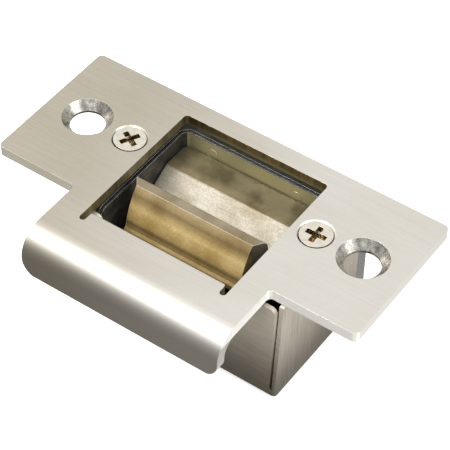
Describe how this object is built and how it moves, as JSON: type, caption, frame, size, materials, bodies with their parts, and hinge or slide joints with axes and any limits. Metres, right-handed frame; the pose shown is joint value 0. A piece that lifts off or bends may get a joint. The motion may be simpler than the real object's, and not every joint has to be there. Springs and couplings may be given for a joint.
{
  "type": "electric door strike",
  "caption": "Electric door strike: satin stainless plate with a rolled lip and open latch pocket, hinged keeper, die-cast body and folded case holding a solenoid release",
  "frame": {"origin": "on the faceplate's mounting face (its underside), midway between the two frame-screw holes", "axes": "+X along the plate's length, +Y away from the lip, +Z out of the door frame along the plate's normal"},
  "size_m": [0.0888, 0.0531, 0.0299],
  "materials": {
    "satin_stainless": "satin stainless, brushed along its length",
    "case_stainless": "brushed stainless sheet",
    "nickel_screws": "bright nickel plate",
    "zinc_casting": "dark die-cast zinc, as cast with a fine grain",
    "keeper_steel": "machined steel, tumbled, warm nickel tone",
    "ground_steel": "ground steel",
    "spring_steel": "spring steel wire",
    "zinc_plated_steel": "bright zinc plate",
    "white_nylon": "natural nylon",
    "copper_wire": "enamelled copper wire",
    "coil_tape": "yellow insulating tape",
    "terminal_brass": "tinned brass",
    "black_rubber": "black rubber"
  },
  "bodies": {
    "housing": {"faceplate": "satin_stainless", "faceplate_screws": "nickel_screws", "case_cover": "case_stainless", "cover_screws": "nickel_screws", "mechanism_body": "zinc_casting", "wire_grommet": "black_rubber", "keeper_pin": "ground_steel", "keeper_pin_clips": "spring_steel", "keeper_rest_pads": "black_rubber", "keeper_spring": "spring_steel", "solenoid_yoke": "zinc_plated_steel", "solenoid_screws": "nickel_screws", "coil_bobbin": "white_nylon", "coil_winding": "copper_wire", "coil_wrap": "coil_tape", "coil_terminals": "terminal_brass", "fixed_core": "zinc_plated_steel", "plunger_spring": "spring_steel", "lever_pin": "ground_steel", "lever_pin_clip": "spring_steel"},
    "keeper_body": {"keeper": "keeper_steel"},
    "lever_body": {"locking_lever": "zinc_plated_steel"},
    "plunger_body": {"plunger": "ground_steel", "plunger_cross_pin": "ground_steel"}
  },
  "joints": [
    {"name": "keeper_hinge", "type": "hinge", "parent": "housing", "child": "keeper_body", "pos_m": [0, -0.006, -0.015], "axis": [1, 0, 0], "range_deg": [0, 30], "stiffness_Nm_per_rad": 0.02, "springref_deg": -45.84, "deforming": ["keeper_spring"]},
    {"name": "lever_hinge", "type": "hinge", "parent": "housing", "child": "lever_body", "pos_m": [0.0126, 0.0058, -0.0124], "axis": [0, 1, 0], "range_deg": [0, 23]},
    {"name": "plunger_slide", "type": "slide", "parent": "housing", "child": "plunger_body", "axis": [-1, 0, 0], "range_m": [0, 0.00242], "deforming": ["plunger_spring"]}
  ],
  "couplings": [
    {"joint": "lever_hinge", "follows": "keeper_hinge", "ratio": 0.76},
    {"joint": "plunger_slide", "follows": "keeper_hinge", "m_per_rad": 0.0045837}
  ]
}
